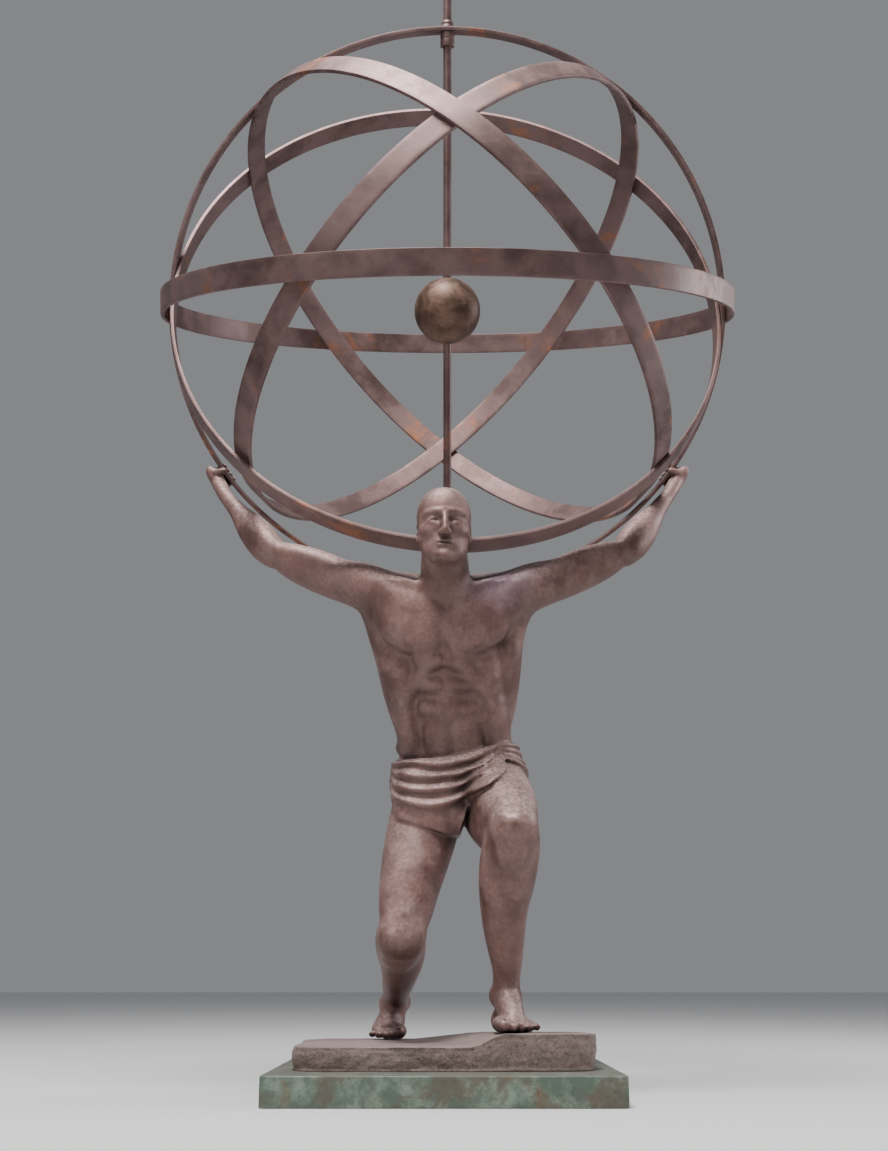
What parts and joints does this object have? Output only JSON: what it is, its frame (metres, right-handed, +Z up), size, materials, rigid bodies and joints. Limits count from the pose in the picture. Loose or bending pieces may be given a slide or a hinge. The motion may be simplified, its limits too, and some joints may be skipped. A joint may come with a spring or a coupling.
{
  "type": "statue",
  "caption": "Bronze statue of a standing bearer in a loincloth with raised arms carrying an open armillary sphere of flat bands, on a rough cast ground and a rectangular plinth.",
  "frame": {"origin": "middle of the plinth's underside", "axes": "+Z up, the figure faces -Y, +X to the right of someone who stands in front of it"},
  "size_m": [2.0278, 1.9402, 3.7526],
  "materials": {
    "figure_bronze": "aged bronze, pinkish brown, mottled",
    "band_bronze": "aged bronze, brown with a dull sheen",
    "globe_bronze": "aged bronze, golden brown",
    "ground_bronze": "rough cast bronze",
    "plinth_bronze": "green patina with brown patches"
  },
  "bodies": {
    "root": {"figure": "figure_bronze", "equator_ring": "band_bronze", "meridian_ring": "band_bronze", "first_ring": "band_bronze", "second_ring": "band_bronze", "third_ring": "band_bronze", "axis_rod": "band_bronze", "upper_collar": "band_bronze", "lower_collar": "band_bronze", "upper_cap": "band_bronze", "lower_cap": "band_bronze", "globe": "globe_bronze", "cast_ground": "ground_bronze", "plinth": "plinth_bronze"}
  },
  "joints": []
}
